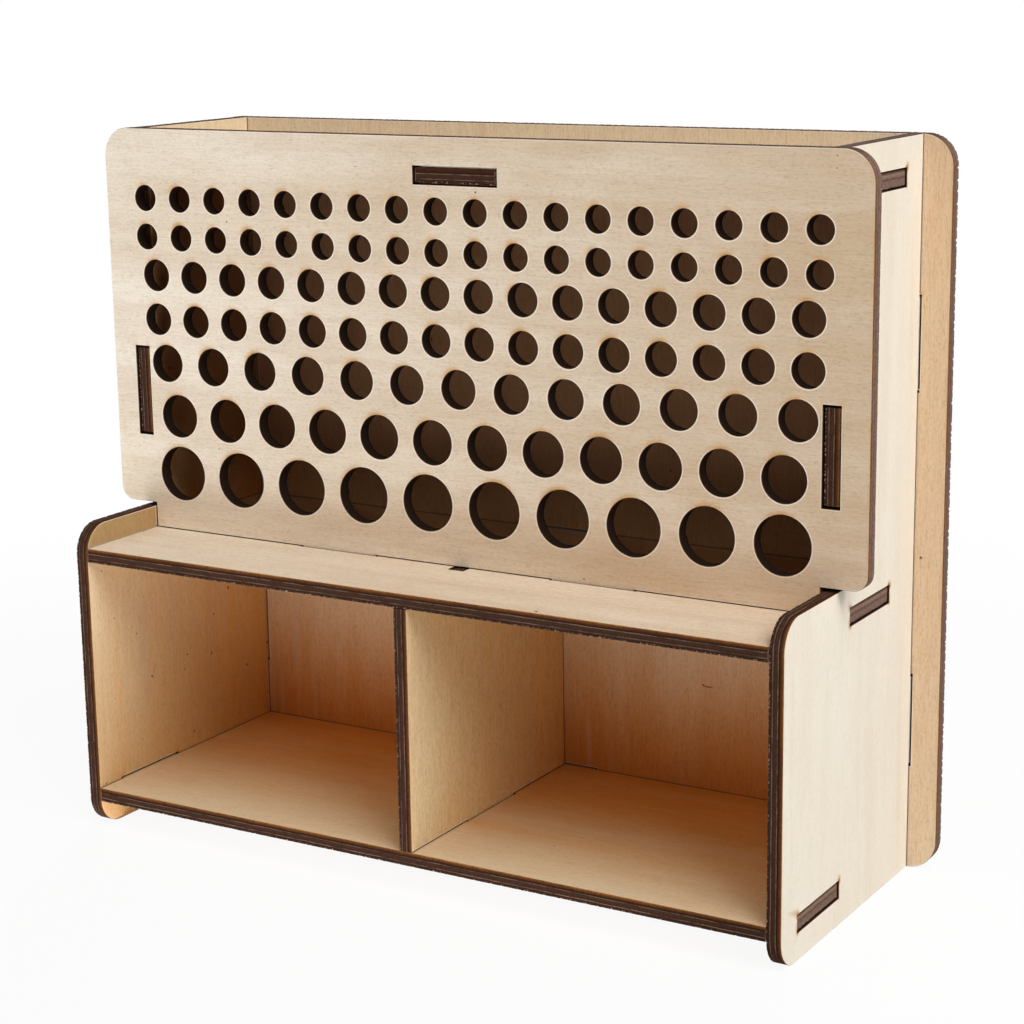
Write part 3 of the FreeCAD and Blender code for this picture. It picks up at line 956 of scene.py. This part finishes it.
def veneer(wood_name, grain):
    """A plate's face: figured wood with specks, painted shade and light, smoke marks with a painted
    highlight on the rim, and painted shade in the seams.
    """
    wood = WOODS[wood_name]
    shader = Shader("veneer " + wood_name)
    dice = random.Random(wood_name)
    shift = [dice.uniform(0, PATTERN_SPAN) for _ in range(3)]
    leaving = shader.value("depth")
    fine, fibres, pores = wood_grain(shader, grain, shift)
    colour = figured(shader, wood, grain, shift, fine, leaving)
    dark = shader.math("MAXIMUM", pin_specks(shader, wood, grain, shift), single_marks(shader, wood_name))
    colour = shader.mix(dark, colour, SPECK_BROWN)
    colour = smoked(shader, with_painted_light_and_shade(shader, colour), leaving)
    # Painted shade in the seams where plates meet.
    colour = shader.mix(painted_seam_shade(shader), colour, SEAM_PAINTED_SHADE)
    roughness = shader.math("MULTIPLY_ADD", fibres, FACE_ROUGHNESS_SPREAD, FACE_ROUGHNESS)
    height = shader.math("SUBTRACT", fibres, pores)
    return shader.close(colour, roughness, height, FACE_BUMP, FACE_SPECULAR)


def ply_line(shader, line, place, strength):
    """A paler glue line at one depth of the cut, broken along its length."""
    away = shader.math("ABSOLUTE", shader.math("SUBTRACT", line, place))
    band = shader.ramp(away, 0.0, PLY_LINE_WIDTH, 1.0, 0.0)
    sizes = (PLY_BREAK_SIZE, PLY_BREAK_SIZE, PLY_BREAK_SIZE)
    breaks = shader.noise(shader.place(sizes, (place * PLY_BREAK_SHIFT, 0, 0)), *RICH_NOISE)
    shown = shader.ramp(breaks, *PLY_BREAK_RANGE, PLY_LINE_LEAST * strength, strength)
    return shader.math("MULTIPLY", band, shown)


def charred(shader, wood_name, depth, side_light_or_soot):
    """The colour of a cut through the plies: char, paler where it faces a side as painted light, paler glue
    lines and a browned entry side.
    """
    dice = random.Random("edge " + wood_name)
    slow = shader.even_noise(SLOW_SIZE, *SOFT_NOISE)
    quick = shader.even_noise(QUICK_SIZE, *FINE_NOISE)
    wander = shader.math("MULTIPLY_ADD", slow, SLOW_WANDER, shader.math("MULTIPLY", quick, QUICK_WANDER))
    line = shader.math("ADD", depth, shader.math("SUBTRACT", wander, MEAN_WANDER))
    char_tone, side_lit_tone = shader.tones(line, CHAR_TONES), shader.tones(line, SIDE_LIT_TONES)
    # Painted side light: a paler char where the cut faces a side.
    colour = shader.mix(shader.ramp(side_light_or_soot, *SIDE_LIT_RAMP), char_tone, side_lit_tone)
    for place in PLY_LINES:
        strength = dice.uniform(*PLY_LINE_STRENGTH)
        colour = shader.mix(ply_line(shader, line, place, strength), colour, PLY_LINE)
    browned = shader.math("MULTIPLY", shader.ramp(line, *BROWNED_RAMP), shader.value("smoke"))
    return shader.mix(browned, colour, shader.tones(line, BROWNED_TONES))


def charred_edge(wood_name):
    """The laser's cut: charred plies, soot all through a hole or a slot, and chips at the exit side."""
    shader = Shader("charred edge " + wood_name)
    depth = shader.value("depth")
    side_light_or_soot = shader.value("side_light_or_soot")
    colour = charred(shader, wood_name, depth, side_light_or_soot)
    soot = shader.even_noise(SOOT_SIZE, *SOOT_NOISE)
    colour = shader.mix(shader.ramp(soot, *SOOT_RAMP), colour, SOOT)
    outline = shader.math("GREATER_THAN", side_light_or_soot, SOOTED / 2)
    hidden = shader.math("SUBTRACT", 1.0, outline)
    sooted = shader.mix(shader.ramp(depth, *HOLE_ARRIS_RAMP), HOLE_ARRIS, SOOT)
    colour = shader.mix(hidden, colour, sooted)
    splinters = shader.ramp(shader.even_noise(SPLINTER_SIZE, *PLAIN_NOISE), *SPLINTER_RAMP)
    chipped = shader.math("MULTIPLY", splinters, shader.ramp(depth, *CHIPPED_RAMP))
    colour = shader.mix(shader.math("MULTIPLY", chipped, outline), colour, CHIPPED_WOOD)
    return shader.close(colour, shader.ramp(soot, *EDGE_ROUGHNESS), soot, EDGE_BUMP, EDGE_SPECULAR)


def floor_finish():
    """A white table: for the camera partly a plain white, so that it shows no more than a soft shadow."""
    shader = Shader("white table")
    lit = shader.add("BsdfDiffuse", {"Color": TABLE_TONE})
    plain = shader.add("Emission", {"Color": WHITE, "Strength": 1.0})
    rays = shader.add("LightPath", {}).outputs
    seen = shader.math("MAXIMUM", rays["Is Camera Ray"], rays["Is Glossy Ray"])
    seen = shader.math("MAXIMUM", seen, rays["Is Transmission Ray"])
    centre = shader.add("VectorMath", {0: shader.add("TexCoord", {}).outputs["Object"]}, operation="LENGTH")
    share = shader.ramp(centre.outputs["Value"], *TABLE_PLAIN)
    blend = shader.add("MixShader", {0: shader.math("MULTIPLY", seen, share),
                                     1: lit.outputs[0], 2: plain.outputs[0]})
    shader.add("OutputMaterial", {"Surface": blend.outputs[0]})
    return shader.material


def make_floor():
    half = TABLE_HALF
    mesh = bpy.data.meshes.new("table")
    corners = [(-half, -half, 0), (half, -half, 0), (half, half, 0), (-half, half, 0)]
    mesh.from_pydata(corners, [], [(0, 1, 2, 3)])
    mesh.materials.append(floor_finish())
    floor = bpy.data.objects.new("table", mesh)
    bpy.context.scene.collection.objects.link(floor)


def make_world():
    """White for the camera and in reflections, and a faint light for all else."""
    world = bpy.data.worlds.new("studio")
    bpy.context.scene.world = world
    world.use_nodes = True
    nodes, links = world.node_tree.nodes, world.node_tree.links
    nodes.clear()
    rays = nodes.new("ShaderNodeLightPath")
    seen = nodes.new("ShaderNodeMath")
    seen.operation = "MAXIMUM"
    links.new(rays.outputs["Is Camera Ray"], seen.inputs[0])
    links.new(rays.outputs["Is Glossy Ray"], seen.inputs[1])
    level = nodes.new("ShaderNodeMapRange")
    links.new(seen.outputs[0], level.inputs["Value"])
    level.inputs["To Min"].default_value = AMBIENT
    level.inputs["To Max"].default_value = 1.0
    background = nodes.new("ShaderNodeBackground")
    background.inputs["Color"].default_value = WHITE
    links.new(level.outputs[0], background.inputs["Strength"])
    output = nodes.new("ShaderNodeOutputWorld")
    links.new(background.outputs[0], output.inputs["Surface"])


def make_lamp(name, place, aim, size, power):
    lamp = bpy.data.lights.new(name, "AREA")
    lamp.shape = "SQUARE"
    lamp.size = size
    lamp.energy = power
    piece = bpy.data.objects.new(name, lamp)
    piece.location = place
    piece.rotation_euler = (Vector(aim) - Vector(place)).to_track_quat("-Z", "Y").to_euler()
    piece.visible_camera = False
    bpy.context.scene.collection.objects.link(piece)


def make_lamps():
    for name, (place, power) in SOFTBOXES.items():
        make_lamp(name, place, LAMP_AIM, SOFTBOX_SIZE, power)
    for name, ((x, y), size, power) in CARDS.items():
        make_lamp(name, (x, y, CARD_HEIGHT), (x, y, 1.0), size, power)


def make_camera():
    lens = bpy.data.cameras.new("photo_camera")
    lens.lens = CAMERA_LENS
    lens.clip_start = CAMERA_NEAR
    camera = bpy.data.objects.new("photo_camera", lens)
    turn = Matrix.Rotation(CAMERA_AZIMUTH, 4, "Z")
    tilt = Matrix.Rotation(math.pi / 2 - CAMERA_ELEVATION, 4, "X")
    roll = Matrix.Rotation(CAMERA_ROLL, 4, "Z")
    camera.matrix_world = Matrix.Translation(CAMERA_PLACE) @ turn @ tilt @ roll
    bpy.context.scene.collection.objects.link(camera)
    bpy.context.scene.camera = camera


for plate_node, plate_facts in PLATES.items():
    piece = plate_piece(plate_node, plate_facts)
    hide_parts(plate_node)
    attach(piece, "root")

make_floor()
make_world()
make_lamps()
make_camera()
bpy.context.scene.view_settings.view_transform = "Standard"
